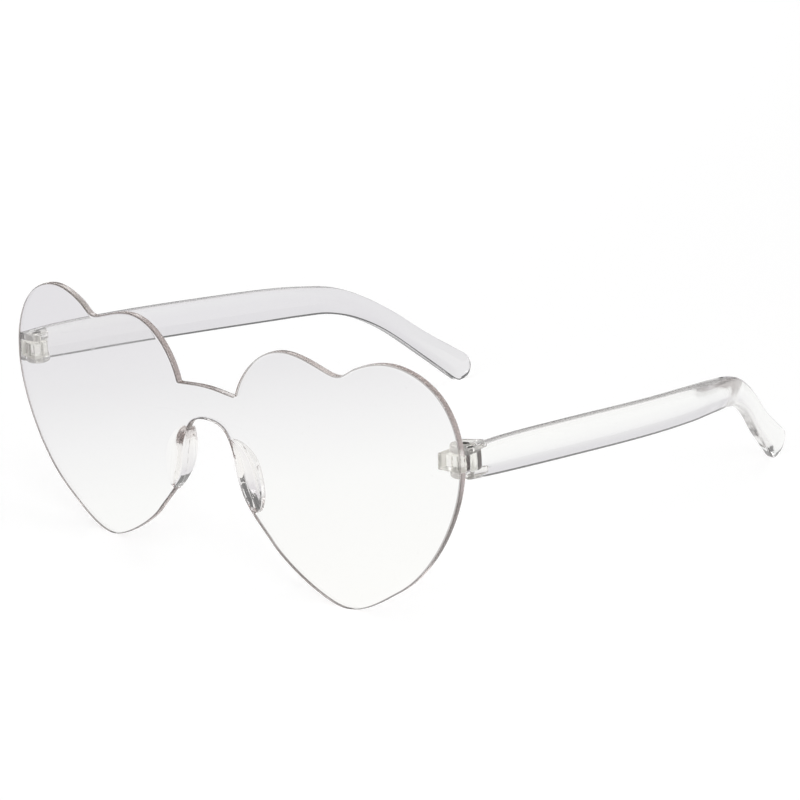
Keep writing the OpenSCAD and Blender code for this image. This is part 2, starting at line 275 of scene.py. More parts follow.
def clear_plastic(name, tint, inside, density, raw, raw_share, raw_soft=0.06, through=0.0,
                  haze=(0.0, 0.05), ripple=0.02, scratch=0.012):
    """Clear glass with noise-driven roughness and bump, and an inside that absorbs to
    that colour at that density per metre. On raw surfaces the given share is matt, of
    the raw colour, and the through share of that lets light pass. Shadow rays and
    glued faces are Transparent."""
    made = bpy.data.materials.new(name)
    made.use_nodes = True
    tree = made.node_tree
    tree.nodes.clear()
    place = add(tree, "ShaderNodeTexCoord").outputs["Object"]
    slow = add(tree, "ShaderNodeTexNoise", Vector=place, Scale=55.0, Detail=4.0, Roughness=0.6)
    stretched = add(tree, "ShaderNodeMapping", Vector=place, Rotation=(0.4, 0.2, 0.7),
                    Scale=(900.0, 40.0, 260.0))
    hair = add(tree, "ShaderNodeTexNoise", Vector=stretched.outputs[0], Scale=1.0, Detail=2.0)
    hairline = ramp(tree, hair.outputs[0],
                    [(0.0, 0.0), (0.66, 0.0), (0.72, 1.0), (0.78, 0.0), (1.0, 0.0)])
    flow = add(tree, "ShaderNodeTexNoise", Vector=place, Scale=18.0, Detail=1.5, Distortion=0.4)
    grain = add(tree, "ShaderNodeTexVoronoi", Vector=place, Scale=260.0)
    speck = ramp(tree, grain.outputs["Distance"],
                 [(0.0, 1.0), (0.035, 0.9), (0.06, 0.0), (1.0, 0.0)])
    unpolished = add(tree, "ShaderNodeAttribute", {"attribute_name": "raw"}).outputs["Fac"]

    soft = add(tree, "ShaderNodeMapRange", Value=slow.outputs[0], From_Min=0.35, From_Max=0.75,
               To_Min=haze[0], To_Max=haze[1]).outputs[0]
    soft = math(tree, "MULTIPLY_ADD", hairline, 0.10, soft)
    soft = math(tree, "MULTIPLY_ADD", speck, 0.15, soft)
    soft = math(tree, "MULTIPLY_ADD", unpolished, raw_soft, soft)
    bumped = add(tree, "ShaderNodeBump", Strength=ripple, Distance=0.002, Height=flow.outputs[0])
    bumped = add(tree, "ShaderNodeBump", Strength=scratch, Distance=0.0002, Height=hairline,
                 Normal=bumped.outputs[0])
    dirt = math(tree, "MULTIPLY_ADD", slow.outputs[0], 0.03, math(tree, "MULTIPLY", speck, 0.25))
    colour = add(tree, "ShaderNodeMix", {"data_type": "RGBA"}, i0=dirt, i6=(*tint, 1),
                 i7=SPECK).outputs[2]
    # Painted shade: a dark tint in the glass colour where the raw value lies between 0 and 0.75,
    # along the arris of a cut edge.
    painted_arris_shade = ramp(tree, unpolished,
                 [(0.0, 0.0), (0.1, 0.4), (0.3, 1.0), (0.5, 0.6), (0.75, 0.0), (1.0, 0.0)])
    colour = add(tree, "ShaderNodeMix", {"data_type": "RGBA"}, i0=painted_arris_shade,
                 i6=colour, i7=ARRIS_PAINTED_SHADE).outputs[2]
    glass = add(tree, "ShaderNodeBsdfPrincipled", Base_Color=colour, Roughness=soft,
                Normal=bumped.outputs[0], IOR=POLYCARBONATE)
    glass.inputs["Transmission Weight"].default_value = 1.0
    mottle = ramp(tree, slow.outputs[0], [(0.0, tuple(0.75 * v for v in raw)), (1.0, raw)])
    matt = add(tree, "ShaderNodeMixShader", i0=through,
               i1=add(tree, "ShaderNodeBsdfDiffuse", Color=mottle, Roughness=0.6).outputs[0],
               i2=add(tree, "ShaderNodeBsdfTranslucent", Color=mottle).outputs[0])
    glass = add(tree, "ShaderNodeMixShader", i0=math(tree, "MULTIPLY", unpolished, raw_share),
                i1=glass.outputs[0], i2=matt.outputs[0])
    passing = add(tree, "ShaderNodeBsdfTransparent", Color=(0.93, 0.93, 0.93, 1))
    path = add(tree, "ShaderNodeLightPath")
    surface = add(tree, "ShaderNodeMixShader", i0=path.outputs["Is Shadow Ray"],
                  i1=glass.outputs[0], i2=passing.outputs[0])
    glued = add(tree, "ShaderNodeAttribute", {"attribute_name": "bond"}).outputs["Fac"]
    joint = add(tree, "ShaderNodeBsdfTransparent", Color=(1, 1, 1, 1))
    surface = add(tree, "ShaderNodeMixShader", i0=math(tree, "GREATER_THAN", glued, 0.0),
                  i1=surface.outputs[0], i2=joint.outputs[0])
    body = add(tree, "ShaderNodeVolumeAbsorption", Color=(*inside, 1), Density=density)
    add(tree, "ShaderNodeOutputMaterial", Surface=surface.outputs[0], Volume=body.outputs[0])
    return made


sheet_finish = clear_plastic("clear_sheet", (0.985, 0.985, 0.985), (0.5, 0.41, 0.39), 18.0,
                             (0.60, 0.50, 0.47), 0.13, raw_soft=0.14)
temple_finish = clear_plastic("clear_temple", (0.985, 0.985, 0.985), (0.5, 0.45, 0.44), 18.0,
                              (0.99, 0.97, 0.93), 0.22, through=0.15, haze=(0.01, 0.09),
                              ripple=0.05)
pad_finish = clear_plastic("clear_pad", (0.985, 0.98, 0.975), (0.5, 0.38, 0.36), 26.0,
                           (0.95, 0.92, 0.88), 0.2, through=0.7, ripple=0.03)
lug_finish = clear_plastic("clear_lug", (0.99, 0.985, 0.965), (0.5, 0.47, 0.38), 18.0,
                           (0.99, 0.98, 0.93), 0.24, through=0.15, haze=(0.0, 0.06),
                           ripple=0.05)

# %% [markdown]
# ## From grids to bodies
#
# Every surface here is a grid of points: rows run one way, columns the other. Grids
# are joined at shared points into one closed body. After that the faces are turned
# outwards, and only edges that are really sharp stay sharp.

# %% Join grids into a closed mesh
MERGE = 0.0004 * MM
SHARP = np.radians(38)


def quads(rows, columns, wrap_rows, wrap_columns, first):
    """Four point numbers for each cell of a grid, which may close on itself."""
    r = np.arange(rows if wrap_rows else rows - 1)[:, None]
    c = np.arange(columns if wrap_columns else columns - 1)[None, :]
    r2, c2 = (r + 1) % rows, (c + 1) % columns
    cells = np.stack([r * columns + c, r * columns + c2, r2 * columns + c2, r2 * columns + c], -1)
    return first + cells.reshape(-1, 4)


def body_mesh(name, grids, mirrored=False):
    """Joins grids of millimetre points, each (points, raw values, bond values, wrap
    rows, wrap columns), merges doubles, drops empty faces and turns all outwards."""
    points, raws, bonds, faces, count = [], [], [], [], 0
    for grid, raw, bond, wrap_rows, wrap_columns in grids:
        rows, columns = grid.shape[:2]
        faces.append(quads(rows, columns, wrap_rows, wrap_columns, count))
        points.append(grid.reshape(-1, 3))
        raws.append(np.broadcast_to(raw, (rows, columns)).reshape(-1))
        bonds.append(np.broadcast_to(bond, (rows, columns)).reshape(-1))
        count += rows * columns
    points = np.concatenate(points) * MM
    if mirrored:
        points = points * [-1, 1, 1]
    mesh = bpy.data.meshes.new(name)
    mesh.from_pydata(points.tolist(), [], np.concatenate(faces).tolist())
    for kind, values in (("raw", raws), ("bond", bonds)):
        mesh.attributes.new(kind, "FLOAT", "POINT").data.foreach_set(
            "value", np.concatenate(values).astype(np.float32))
    close(mesh)
    return mesh


def close(mesh):
    """Merges doubles, drops faces without area, turns faces outwards and smooths every
    edge whose two faces meet at less than the sharp angle."""
    work = bmesh.new()
    work.from_mesh(mesh)
    bmesh.ops.remove_doubles(work, verts=work.verts, dist=MERGE)
    bmesh.ops.dissolve_degenerate(work, edges=work.edges, dist=MERGE / 4)
    bmesh.ops.recalc_face_normals(work, faces=work.faces)
    if work.calc_volume(signed=True) < 0:
        bmesh.ops.reverse_faces(work, faces=work.faces)
    open_edges = 0
    for face in work.faces:
        face.smooth = True
    for edge in work.edges:
        edge.smooth = bool(edge.is_manifold and edge.calc_face_angle(0) < SHARP)
        open_edges += not edge.is_manifold
    volume = work.calc_volume() / MM ** 3
    work.to_mesh(mesh)
    work.free()
    print(f"{mesh.name}: {len(mesh.polygons)} faces, {volume:.1f} mm3, {open_edges} open edges")


def piece(name, mesh, body, node, finish):
    """A finished piece: it rides on a body of the frame, stands for a CAD node and
    takes the finish that it is given."""
    made = bpy.data.objects.new(name, mesh)
    scene.collection.objects.link(made)
    mesh.materials.clear()
    mesh.materials.append(finish)
    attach(made, body)
    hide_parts(node)
    return made


# %% [markdown]
# ## Shield
#
# The shield is made from one sheet. Its outline is easiest to draw as a
# designer would, with a few anchors and the headings of the curve at each, joined
# by cubic curves. Only half is drawn, because the other half is its mirror image.

# %% Outline of half the shield
SHIELD_W, HEART_H, SHEET = 146.0, 59.2, 1.8
DOME, FRONT_Y = 488.0, -73.4525
BRIDGE_Z, BRIDGE_H = 45.0, 8.1
HALF = SHIELD_W / 2
CURVE_STEPS = 22

# across, up, heading into and out of the anchor in degrees clockwise, fullness
ANCHORS = np.array([
    [0.0, BRIDGE_Z, 0, 0, 0.35],
    [9.3, BRIDGE_Z - 0.7, 5, -74, 0.35],
    [0.348 * HALF, 0.970 * HEART_H, 0, 0, 0.34],
    [0.501 * HALF, 0.930 * HEART_H, 17, 17, 0.34],
    [0.556 * HALF, 0.920 * HEART_H, -10, -10, 0.34],
    [0.610 * HALF, 0.956 * HEART_H, -27, -27, 0.33],
    [0.747 * HALF, HEART_H, 0, 0, 0.33],
    [0.929 * HALF, 0.905 * HEART_H, 47, 47, 0.34],
    [HALF, 0.659 * HEART_H, 90, 90, 0.32],
    [0.929 * HALF, 0.362 * HEART_H, 119, 119, 0.33],
    [0.758 * HALF, 0.124 * HEART_H, 147, 147, 0.32],
    [0.538 * HALF, 0.0, 180, 180, 0.24],
    [0.2575 * HALF, 0.187 * HEART_H, 228, 228, 0.39],
    [9.0, 0.4295 * HEART_H, 258, 258, 0.35],
    [5.895, BRIDGE_Z - 1.255 * BRIDGE_H, 231, 231, 0.35],
    [0.0, BRIDGE_Z - BRIDGE_H, 180, 180, 0.35]])


def bow(k, t):
    """Point at t on the cubic curve from anchor k to the next one. Its two handles lie
    along the headings, at the fullness times the distance between the anchors."""
    t = np.asarray(t, float)[..., None]
    p, q = ANCHORS[k, :2], ANCHORS[k + 1, :2]
    reach = np.linalg.norm(q - p) * ANCHORS[k, 4]
    out, into = np.radians(ANCHORS[k, 3]), np.radians(ANCHORS[k + 1, 2])
    c = p + reach * np.array([np.cos(out), -np.sin(out)])
    d = q - reach * np.array([np.cos(into), -np.sin(into)])
    s = 1 - t
    return s ** 3 * p + 3 * s * s * t * c + 3 * s * t * t * d + t ** 3 * q


steps = np.arange(CURVE_STEPS) / CURVE_STEPS
before, after = 0.955, 0.018        # the inner corner is rounded between these places
turn = np.linspace(0, 1, 7)[:, None]
corner_fillet = ((1 - turn) ** 2 * bow(0, before) + 2 * turn * (1 - turn) * ANCHORS[1, :2]
                 + turn ** 2 * bow(1, after))
outline = np.concatenate(
    [bow(0, steps * before), corner_fillet, bow(1, after + (1 - after) * steps[1:])]
    + [bow(k, steps) for k in range(2, len(ANCHORS) - 1)] + [ANCHORS[-1:, :2]])
print("half outline:", len(outline), "points,",
      round(float(np.linalg.norm(np.diff(outline, axis=0), axis=1).sum()), 1), "mm")

# %% [markdown]
# ## Feet on the sheet
#
# The pads and the hinge lugs are taken as cemented to the sheet's back. Each foot is
# drawn first as an outline across and up, because the sheet's rim stays square
# beside a pad and its back has to know where it is glued.

# %% Feet of the pads and lugs
PAD_W, PAD_D, PAD_FLARE, PAD_EDGE, PAD_INSET = 6.6, 4.8, 1.6, 0.9, 0.0
PAD_FROM, PAD_TO, PAD_BELLY, PAD_FULL = 0.42, 0.86, 0.75, 0.6
NOSE_CURVE = 12
PAD_ENDS = 0.02
GLUE = 0.02
SCREW_X, SCREW_Y, HINGE_Z = 69.9, -63.0475, 39.6
LUG_H, LUG_R, LUG_IN, LUG_BACK = 3.7, 2.4, 3.6, 0.4


def pad_place(u):
    """Place on the cut-out's side at u from 0 below to 1 above."""
    s = PAD_FROM + np.asarray(u) * (1 - PAD_FROM + PAD_TO)
    return np.where((s < 1)[..., None], bow(NOSE_CURVE, s), bow(NOSE_CURVE + 1, s - 1))


def pad_path(u):
    """Place on the cut-out's side, unit normal away from the nose, and the leaf's size,
    sin(pi u^belly)^fullness."""
    run = pad_place(u + 0.01) - pad_place(u - 0.01)
    out = np.stack([run[:, 1], -run[:, 0]], 1) / np.linalg.norm(run, axis=1)[:, None]
    return pad_place(u), out, (np.sin(np.pi * u ** PAD_BELLY) ** PAD_FULL)[:, None]


pad_u = PAD_ENDS + (1 - 2 * PAD_ENDS) * (0.5 - 0.5 * np.cos(np.linspace(0, np.pi, 57)))
place, out, size = pad_path(pad_u)
pad_foot = np.concatenate([place - out, (place + (PAD_INSET + PAD_W * size) * out)[::-1]])
lug_low, lug_high = HINGE_Z - LUG_H / 2, HINGE_Z + LUG_H / 2
lug_foot = np.array([[SCREW_X - LUG_IN, lug_low], [SCREW_X + LUG_R, lug_low],
                     [SCREW_X + LUG_R, lug_high], [SCREW_X - LUG_IN, lug_high]])
print("feet: pad", pad_foot.shape[0], "points, lug", np.ptp(lug_foot, axis=0).round(2), "mm")


def inside_by(points, outline):
    """How far points lie inside a closed outline, negative outside: the least distance
    to its sides, with a sign from how often a level line from the point crosses them."""
    a, b = outline, np.roll(outline, -1, 0)
    p = points[..., None, :]
    share = np.clip(((p - a) * (b - a)).sum(-1) / ((b - a) ** 2).sum(-1), 0, 1)[..., None]
    away = np.linalg.norm(p - a - share * (b - a), axis=-1).min(-1)
    spans = (a[:, 1] > p[..., 1]) != (b[:, 1] > p[..., 1])
    rise = np.where(b[:, 1] == a[:, 1], 1, b[:, 1] - a[:, 1])
    cross = a[:, 0] + (p[..., 1] - a[:, 1]) / rise * (b[:, 0] - a[:, 0])
    return np.where((spans & (p[..., 0] < cross)).sum(-1) % 2 == 1, away, -away)


# %% [markdown]
# The sheet is a slice of a large sphere. Its edge looks cut and rubbed down, so both
# rims are rounded. Rings of points run from a middle point of each heart out to the
# rim, round the front rim, across the edge and round the back rim. The raw value
# grows over the rims, from 0 on the faces to 1 across the edge. Beside a pad the back
# rim stays square, because the pad runs flush with the edge there.

# %% Shield surface
RIM, SQUARE_RIM = 0.5, 0.03
HEART_MIDDLE = np.array([30.0, 36.0])


def inward(line):
    """Unit normals of an open clockwise line, towards its right-hand side. They are the
    central differences turned a quarter, and upright at the plane of symmetry."""
    run = np.gradient(line, axis=0)
    run /= np.linalg.norm(run, axis=1)[:, None]
    normal = np.stack([run[:, 1], -run[:, 0]], 1)
    normal[0], normal[-1] = (0, -1), (0, 1)
    return normal


def dome(points, radius):
    """Depth of the sphere of that radius at places across and up: the dome's middle
    height is half a heart's, and its centre is one front radius behind the front."""
    x, z = points[..., 0], points[..., 1]
    return FRONT_Y + DOME - np.sqrt(radius ** 2 - x ** 2 - (z - HEART_H / 2) ** 2)


def on_sheet(points, share):
    """3D points at places across and up, between the front face at 0 and back at 1."""
    front, rear = dome(points, DOME), dome(points, DOME - SHEET)
    return np.stack([points[..., 0], front + (rear - front) * share, points[..., 1]], -1)


def fan(inset_line):
    """Rings of places from the heart's middle to a half outline, which a seam on the
    plane of symmetry closes."""
    seam = np.stack([np.zeros(7), np.linspace(inset_line[-1, 1], inset_line[0, 1], 9)[1:-1]], 1)
    loop = np.concatenate([inset_line, seam])
    rings = (np.linspace(0, 1, 40) ** 0.8)[:, None, None]
    return HEART_MIDDLE + rings * (loop - HEART_MIDDLE)


normals = inward(outline)
nearest = np.linalg.norm(outline[:, None] - pad_place(np.linspace(0, 1, 200)), axis=-1)
beside = np.linspace(0, 1, 200)[nearest.argmin(1)]
by_pad = np.where(nearest.min(1) < 0.3, np.clip(np.minimum(beside, 1 - beside) / 0.06, 0, 1), 0)
rear_rim = (RIM + (SQUARE_RIM - RIM) * by_pad)[None, :]
turns = np.radians(np.linspace(0, 90, 9))[:, None]
front_inset, rear_inset = RIM * (1 - np.sin(turns)), rear_rim * (1 - np.sin(turns[::-1]))
edge_inset = np.concatenate([np.broadcast_to(front_inset, rear_inset.shape), rear_inset])
through = np.concatenate([np.broadcast_to(RIM * (1 - np.cos(turns)), rear_inset.shape),
                          SHEET - rear_rim * (1 - np.cos(turns[::-1]))]) / SHEET
# The edge's raw value: over the rounded rims, where it lies between 0 and 1, the finish paints a
# dark shade.
cut = np.concatenate([np.sin(turns), np.sin(turns[::-1])]) ** 2 * (1 - by_pad)
front_fan, rear_fan = fan(outline + RIM * normals), fan(outline + rear_rim.T * normals)
glued = np.maximum(inside_by(rear_fan, pad_foot), inside_by(rear_fan, lug_foot))
shield_grids = [
    (on_sheet(front_fan, 0.0), 0.0, -1.0, False, True),
    (on_sheet(rear_fan, 1.0), 0.0, glued, False, True),
    (on_sheet(outline + edge_inset[..., None] * normals, through), cut, -1.0, False, False)]
other_half = [(grid * [-1, 1, 1], *rest) for grid, *rest in shield_grids]
shield = piece("shield", body_mesh("shield", shield_grids + other_half), "front", "shield",
               sheet_finish)

# %% [markdown]
# ## Nose pads
#
# Each pad is a leaf-shaped wedge along the cut-out. A section is a wide foot on the
# shield, a slightly full face towards the nose, a thin free edge and a hollow outer
# side. The section is carried along the cut-out's curve, and it grows and shrinks
# like a leaf. A smooth curve through the section's corners gives the moulded look.

# %% Pad section
PAD_SECTION = np.array([
    [0, 0, 0, 0], [-0.02, 0.35, 0, 0.5], [0, 0.85, 0, 0.85], [0, 1, 0.25, 0.98],
    [0, 1, 0.75, 1], [0, 1, 1, 0.9], [0.3, 0.7, 0.5, 0.45], [0.72, 0.1, 0, 0.12], [1, 0, 0, 0]])


def smooth_through(points, per_span):
    """Catmull-Rom curve through points: each span is the cubic whose end slopes are
    half the step between the neighbours."""
    padded = np.concatenate([2 * points[:1] - points[1:2], points, 2 * points[-1:] - points[-2:-1]])
    t = (np.arange(per_span) / per_span)[:, None]
    spans = [0.5 * (2 * b + (c - a) * t + (2 * a - 5 * b + 4 * c - d) * t ** 2
                    + (3 * b - a - 3 * c + d) * t ** 3)
             for a, b, c, d in zip(padded, padded[1:], padded[2:], padded[3:])]
    return np.concatenate(spans + [points[-1:]])


def pad_grid():
    """Rows along the pad, columns round its section, and how far below the glue line
    each point is. Across is the inset plus the foot, flare and edge shares times their
    sizes, and all but the inset scale with the leaf's size."""
    place, out, size = pad_path(pad_u)
    section = smooth_through(PAD_SECTION, 5)
    foot = np.stack([np.linspace(1, 0, 8)[1:-1], *np.zeros((3, 6))], 1)
    section = np.concatenate([section, foot])
    across = PAD_INSET + size * (section[:, 0] * PAD_W + section[:, 1] * PAD_FLARE
                                 + section[:, 2] * PAD_EDGE)
    flat = place[:, None, :] + across[..., None] * out[:, None, :]
    height = np.maximum(section[:, 3], 0) * PAD_D * size
    depth = dome(flat, DOME - SHEET) + GLUE + height
    return np.stack([flat[..., 0], depth, flat[..., 1]], -1), 2 * GLUE - height


def capped(grid, bond=-1.0):
    """A tube of rings with a fan at each end: the end rings shrink to their middles."""
    ends = [np.broadcast_to(grid[k].mean(0), grid[:1].shape) for k in (0, -1)]
    bond = np.broadcast_to(bond, grid.shape[:2])
    return (np.concatenate([ends[0], grid, ends[1]]), 0.0,
            np.concatenate([-np.ones_like(bond[:1]), bond, -np.ones_like(bond[:1])]), False, True)


SIDES = (("left", False), ("right", True))
pad = capped(*pad_grid())
for side, mirrored in SIDES:
    piece(f"nose_pad_{side}", body_mesh(f"nose_pad_{side}", [pad], mirrored), "front",
          f"nose_pad_{side}", pad_finish)

# %% [markdown]
# ## Hinge lugs
#
# A lug is a small block behind the shield with a round end about the screw. Seen
# from above it is star-shaped round the screw's bore, so one closed grid makes it:
# rings run from the bore across the top, round the edge, down the wall, back across
# the bottom and up the bore again.

# %% Bored block
BORE_R = 0.63


def rounded(corners, spacing=0.12):
    """Closed outline through corners (x, y, radius): each corner is an arc of its
    radius, and straight runs are divided evenly."""
    corners = np.asarray(corners, float)
    points = []
    for k in range(len(corners)):
        before, here, after = (corners[(k + j) % len(corners), :2] for j in (-1, 0, 1))
        a, b = before - here, after - here
        a, b = a / np.linalg.norm(a), b / np.linalg.norm(b)
        half = np.arccos(np.clip(a @ b, -1, 1)) / 2
        radius = corners[k, 2]
        if radius <= 0:
            points.append(here)
            continue
        centre = here + (a + b) / np.linalg.norm(a + b) * radius / np.sin(half)
        start, stop = here + a * radius / np.tan(half), here + b * radius / np.tan(half)
        first = np.arctan2(*(start - centre)[::-1])
        sweep = (np.arctan2(*(stop - centre)[::-1]) - first + np.pi) % (2 * np.pi) - np.pi
        angle = first + sweep * np.linspace(0, 1, max(4, int(abs(sweep) * radius / spacing) + 2))
        points.extend(centre + radius * np.stack([np.cos(angle), np.sin(angle)], 1))
    points = np.array(points)
    dense = []
    for p, q in zip(points, np.roll(points, -1, 0)):
        count = max(1, int(np.linalg.norm(q - p) / (4 * spacing)))
        dense.extend(p + (q - p) * np.arange(count)[:, None] / count)
    return np.array(dense)


def arc(radius, start, stop, count):
    """Points on a circle about the screw, from one angle in degrees to another."""
    angle = np.radians(np.linspace(start, stop, count))
    return [(radius * np.cos(v), radius * np.sin(v), 0) for v in angle]


def bored_block(line, low, high, edge, bores):
    """Closed grid of an outline about the screw between two heights. The edge is
    rounded by that radius, one for all points or one for each, and bores lists
    (height, radius) from top to bottom."""
    edge = np.broadcast_to(np.asarray(edge, float), len(line))
    run = np.roll(line, -1, 0) - np.roll(line, 1, 0)
    run /= np.linalg.norm(run, axis=1)[:, None]
    inwards = np.stack([-run[:, 1], run[:, 0]], 1)
    if np.sum(line[:, 0] * np.roll(line[:, 1], -1) - line[:, 1] * np.roll(line[:, 0], -1)) < 0:
        inwards = -inwards
    angle = np.arctan2(line[:, 1], line[:, 0])
    unit = np.stack([np.cos(angle), np.sin(angle)], 1)
    round_off = np.radians(np.linspace(0, 90, 5))
    rows = []

    def row(flat, z):
        rows.append(np.concatenate([flat, np.broadcast_to(z, len(flat))[:, None]], 1))

    inner = line + edge[:, None] * inwards
    for share in (0.0, 0.5):
        row(unit * bores[0][1] * (1 - share) + inner * share, high)
    for a in round_off:
        row(line + (edge * (1 - np.sin(a)))[:, None] * inwards, high - edge * (1 - np.cos(a)))
    for a in round_off[::-1]:
        row(line + (edge * (1 - np.sin(a)))[:, None] * inwards, low + edge * (1 - np.cos(a)))
    for share in (0.5, 0.0):
        row(unit * bores[-1][1] * (1 - share) + inner * share, low)
    for z, radius in bores[::-1]:
        row(unit * radius, z)
    grid = np.stack(rows) + [SCREW_X, SCREW_Y, 0]
    return grid


lug_line = rounded([(-LUG_IN, -4.4, 0), (LUG_R, -4.4, 0)] + arc(LUG_R, 0, 168, 26)
                   + [(-LUG_IN, LUG_BACK, 0.3)])
lug_grid = bored_block(lug_line, lug_low, lug_high, 0.15,
                       [(lug_high, BORE_R), (lug_low, BORE_R)])
seat = dome(lug_grid[..., [0, 2]], DOME - SHEET) + GLUE
lug_grid[..., 1] = np.maximum(lug_grid[..., 1], seat)
lug_bond = 2 * GLUE - (lug_grid[..., 1] - seat)
lug = (lug_grid, 1.0, lug_bond, True, True)
for side, mirrored in SIDES:
    piece(f"hinge_lug_{side}", body_mesh(f"hinge_lug_{side}", [lug], mirrored), "front",
          f"hinge_lug_{side}", lug_finish)

# %% [markdown]
# ## Temples
#
# A temple is one moulding. Its bar is a rounded rectangle with full faces, carried
# along a curve that falls slowly, leans in and bends down behind the ear. Its front
# end is a fork that holds the lug. The bodies overlap, so booleans make them one
# solid, as the mould does.

# %% Bar of a temple
TEMPLE_L, TEMPLE_H, TEMPLE_T, TAIL_T = 132.5, 8.9, 2.4, 3.0
LEAN, TIP_R, EDGE_R, CROWN = 18.6, 4.0, 0.7, 0.3
TIP_REACH, CROWN_TOP = 0.985, 0.96  # keep the tip and the faces inside the CAD box
WALL_FRONT = 2.5
TEMPLE_X = HALF + 0.7 - TEMPLE_T / 2
# length, lean, drop and height at places along the bar, as shares
BAR_PLACES = np.array([
    [-WALL_FRONT / TEMPLE_L, 0.000, -0.003, 0.82], [0.061, 0.000, 0.020, 0.945],
    [0.224, -0.005, 0.079, 1.00], [0.436, 0.038, 0.166, 1.01], [0.586, 0.129, 0.225, 0.99],
    [0.670, 0.226, 0.261, 0.90], [0.730, 0.317, 0.298, 0.81], [0.782, 0.457, 0.376, 0.72],
    [0.843, 0.624, 0.522, 0.67], [0.919, 0.833, 0.761, 0.72],
    [1.000, 1.000, 1.000, 2 * TIP_R / TEMPLE_H]])


def bar_line(per_span):
    """Middle line of the bar with its half height: cubic Hermite spans in the length,
    whose slopes are those between the neighbouring places. Gives values and slopes."""
    shares = BAR_PLACES
    v = np.stack([TEMPLE_X - shares[:, 1] * LEAN, SCREW_Y + shares[:, 0] * TEMPLE_L,
                  HINGE_Z - shares[:, 2] * (HINGE_Z - TIP_R), shares[:, 3] * TEMPLE_H / 2], 1)
    k = np.arange(len(v))
    lo, hi = np.maximum(k - 1, 0), np.minimum(k + 1, len(v) - 1)
    slope = (v[hi] - v[lo]) / (v[hi, 1] - v[lo, 1])[:, None]
    t = (np.arange(per_span) / per_span)[None, :, None]
    p, q, m, n = v[:-1, None], v[1:, None], slope[:-1, None], slope[1:, None]
    length = q[..., 1:2] - p[..., 1:2]
    s = 1 - t
    value = ((1 + 2 * t) * s * s * p + t * s * s * length * m
             + t * t * (3 - 2 * t) * q - t * t * s * length * n)
    rate = (6 * t * s * (q - p) / length + s * (1 - 3 * t) * m + t * (3 * t - 2) * n)
    return (np.concatenate([value.reshape(-1, 4), v[-1:]]),
            np.concatenate([rate.reshape(-1, 4), slope[-1:]]))


def bar_grid():
    """Rows along the bar, columns round it. A section has half height h and half
    thickness w, corners of the edge radius, and faces that fall by the crown times the
    square of the height's share from their middle to the corners."""
    value, rate = bar_line(12)
    share = (value[:, 1] - SCREW_Y) / TEMPLE_L
    half_t = (TEMPLE_T + (TAIL_T - TEMPLE_T) * np.clip((share - 0.60) / 0.16, 0, 1)) / 2
    turn = np.radians(np.linspace(6, 88, 15))
    end, end_rate = value[-1], rate[-1]
    forward = end_rate[:3] / np.linalg.norm(end_rate[:3])
    past = TIP_REACH * TIP_R * np.sin(turn)[:, None] * forward
    centre = np.concatenate([value[:, :3], end[:3] + past])
    heading = np.concatenate([rate[:, :3], np.broadcast_to(end_rate[:3], (len(turn), 3))])
    heading[0] = (0, 1, 0)
    high = np.concatenate([value[:, 3], TIP_R * np.cos(turn)])
    wide = np.concatenate([half_t, (0.45 + 0.55 * np.cos(turn)) * TAIL_T / 2])
    d = heading / np.linalg.norm(heading, axis=1)[:, None]
    up = np.stack([0 * d[:, 0], -d[:, 2], d[:, 1]], 1)
    up /= np.linalg.norm(up, axis=1)[:, None]
    aside = np.cross(d, up)
    fall = (CROWN * np.minimum(1, high / TIP_R))[:, None]
    slim = wide[:, None] - fall
    r = np.minimum(EDGE_R, 0.9 * np.minimum(high[:, None], slim))
    arcs = np.radians(np.linspace(0, 90, 8))
    u, w = [], []
    for sx, sz, start in ((1, 1, 0), (-1, 1, 90), (-1, -1, 180), (1, -1, 270)):
        a = np.radians(start) + arcs
        u.append(sx * (slim - r) + r * np.cos(a))
        w.append(sz * (high[:, None] - r) + r * np.sin(a))
        if sx * sz > 0:
            span = np.linspace(1, -1, 7)[1:-1]
            u.append(sx * span * (slim - r))
            w.append(sz * np.broadcast_to(high[:, None], (len(high), 5)))
        else:
            span = np.linspace(1, -1, 13)[1:-1]
            u.append(sx * (slim + fall * np.minimum(1 - span ** 2, CROWN_TOP)))
            w.append(sz * span * (high[:, None] - r))
    u, w = np.concatenate(u, 1), np.concatenate(w, 1)
    grid = centre[:, None] + aside[:, None] * u[..., None] + up[:, None] * w[..., None]
    grid[..., 2] = np.maximum(grid[..., 2], 0)
    return grid


bar_rows = bar_grid()
print("bar:", bar_rows.shape, "rows and columns, ends at y",
      round(float(bar_rows[..., 1].max()), 2), "mm")

# %% [markdown]
# The bar's outer face runs on past the screw almost to the shield. On its inner side
# stand two flat knuckles, and between them the lug turns in a slot that is open to
# the front and to the inner side. The slot is cut first, then the knuckles are
# welded on. Their heels run back along the bar with rounded ends. An exact boolean
# fails on a body that crosses itself or shares a plane with the other one, so the
# knuckles have one edge radius all round and the slot is a hair lower than the gap.

# %% Fork
FORK_H, FORK_PLAY, FORK_GAP, FORK_EDGE = 7.2, 0.1, 0.3, 0.35
SKIN = 0.004                        # keeps faces of the booleans off one plane
KNUCKLE_R, HEEL_TURN, HEEL_R, KNUCKLE_ROOT = 2.8, 122, 0.8, 1.2
HEAD_R, HEAD_H = 1.2, 0.5
BAR_IN = TEMPLE_X - TEMPLE_T / 2 - SCREW_X
fork_top, fork_low = HINGE_Z + FORK_H / 2, HINGE_Z - FORK_H / 2
slot_top, slot_low = lug_high + FORK_PLAY, lug_low - FORK_PLAY
head_seat = fork_top - HEAD_H - FORK_PLAY
heel = KNUCKLE_R * np.array([np.cos(np.radians(HEEL_TURN)), np.sin(np.radians(HEEL_TURN))])
heel_end = heel[1] + (BAR_IN - heel[0]) * np.tan(np.radians(HEEL_TURN - 90))

